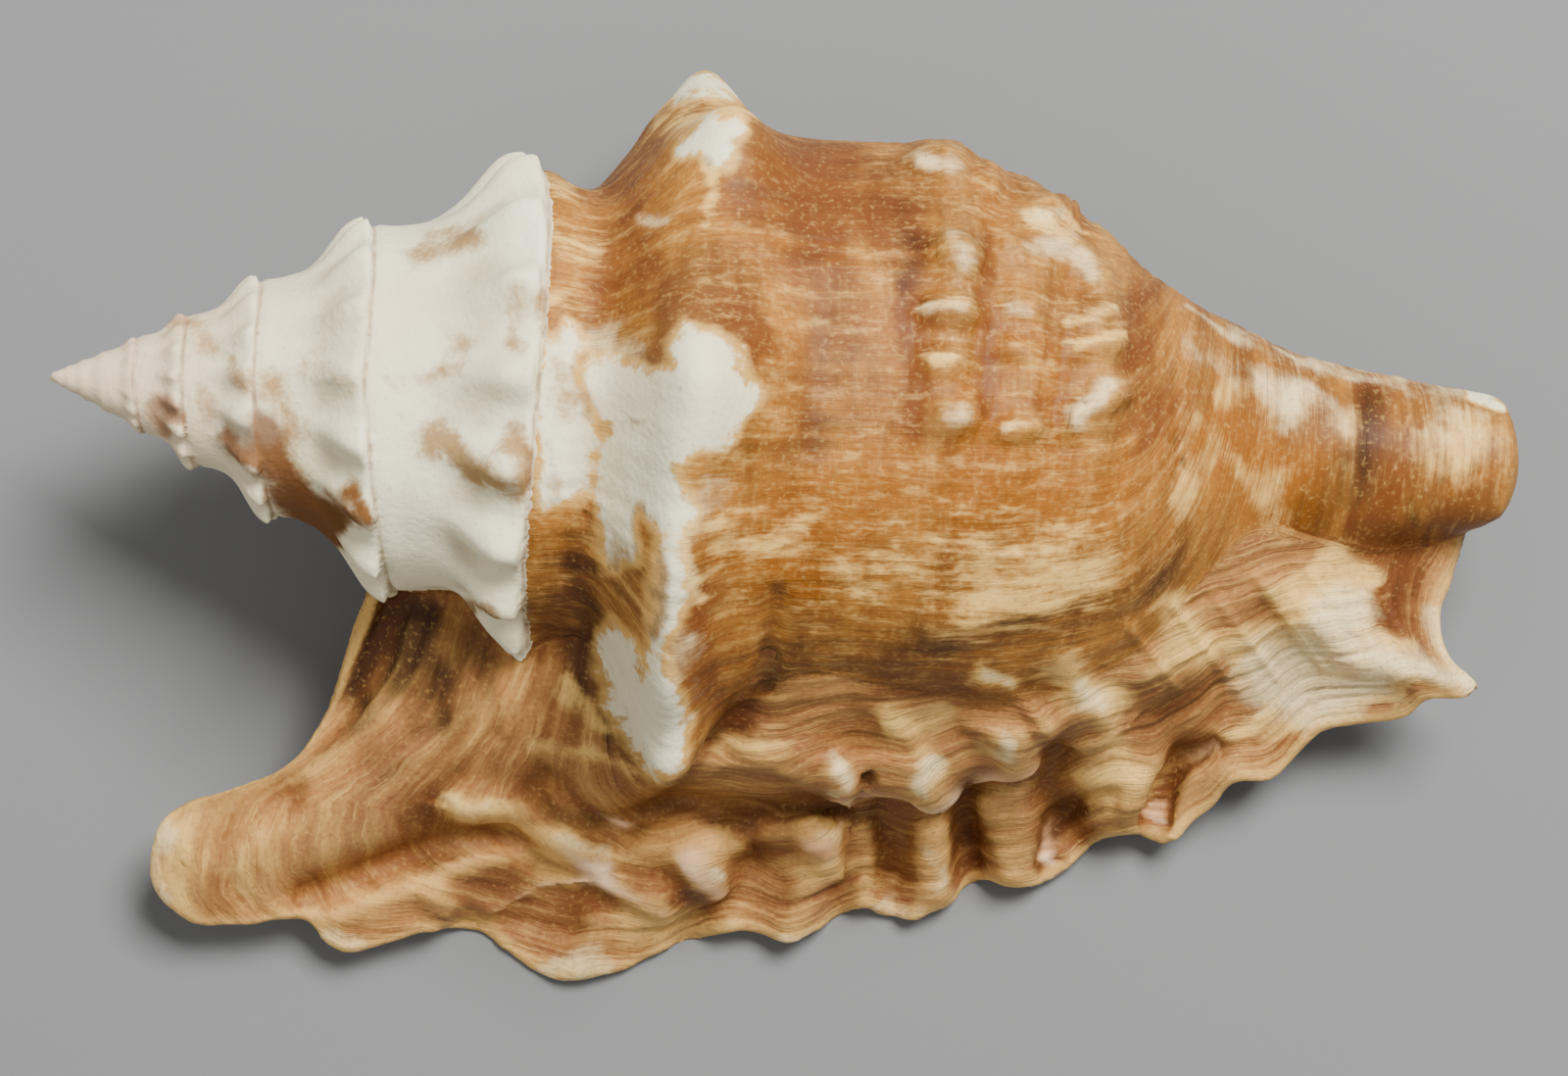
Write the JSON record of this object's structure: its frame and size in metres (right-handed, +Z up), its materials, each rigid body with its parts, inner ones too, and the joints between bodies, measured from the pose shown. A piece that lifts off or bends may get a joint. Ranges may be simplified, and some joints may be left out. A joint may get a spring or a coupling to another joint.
{
  "type": "conch shell",
  "caption": "Spired conch shell with a knobbed shoulder, beaded cords and a wide folded lip, lying on its aperture; the hollow opens on the underside.",
  "frame": {"origin": "middle of the foot of the shell's box, on the surface it lies on", "axes": "+X from the apex towards the canal, +Y away from the flared lip, +Z up through the back"},
  "size_m": [0.1382, 0.0892, 0.0574],
  "materials": {
    "shell": "worn lime-white spire and knobs, warm brown and cream streaks on the last whorl and the lip, low gloss"
  },
  "bodies": {
    "root": {"shell": "shell"}
  },
  "joints": []
}
